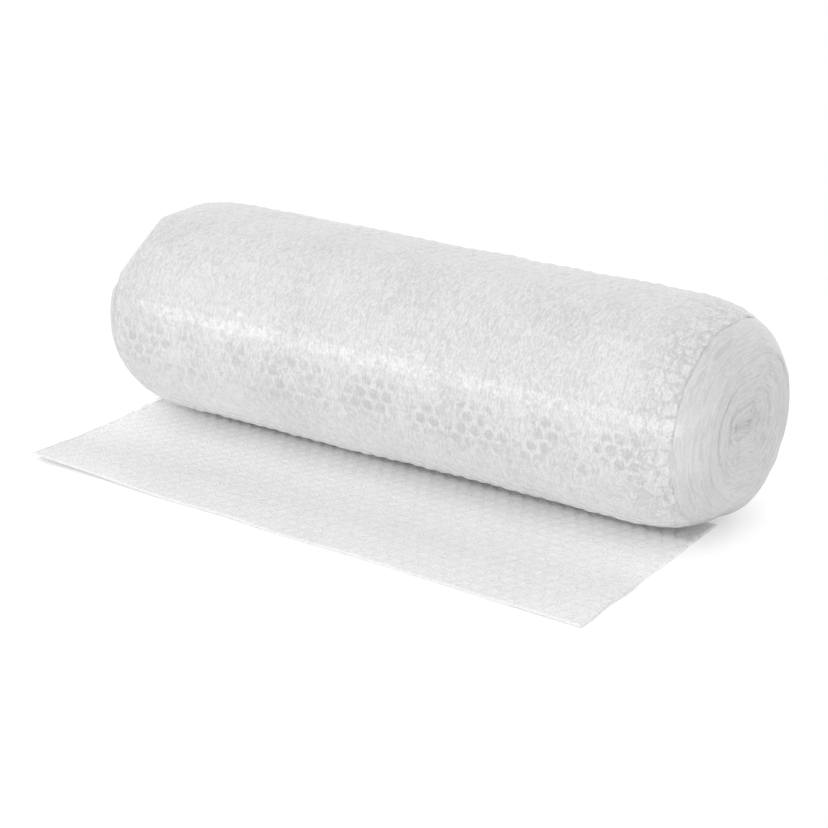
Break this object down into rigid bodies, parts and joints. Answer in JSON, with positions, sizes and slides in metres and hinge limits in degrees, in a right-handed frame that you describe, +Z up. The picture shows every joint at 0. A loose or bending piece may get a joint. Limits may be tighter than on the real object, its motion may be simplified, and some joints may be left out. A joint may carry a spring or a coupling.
{
  "type": "bubble wrap roll",
  "caption": "Coreless roll of clear small-bubble film lying on its side, with its free end unrolled on the floor; cushions goods in parcels.",
  "frame": {"origin": "on the floor, under the roll's axis, at the middle of the web's width", "axes": "+X along the roll's axis, +Z up, and the free end lies towards -Y"},
  "size_m": [0.5299, 0.2852, 0.171],
  "materials": {
    "bubble_film": "clear polyethylene film, milky where many layers lie on each other, glossy with fine wrinkles"
  },
  "bodies": {
    "root": {"bubble_wrap_roll": "bubble_film"}
  },
  "joints": []
}
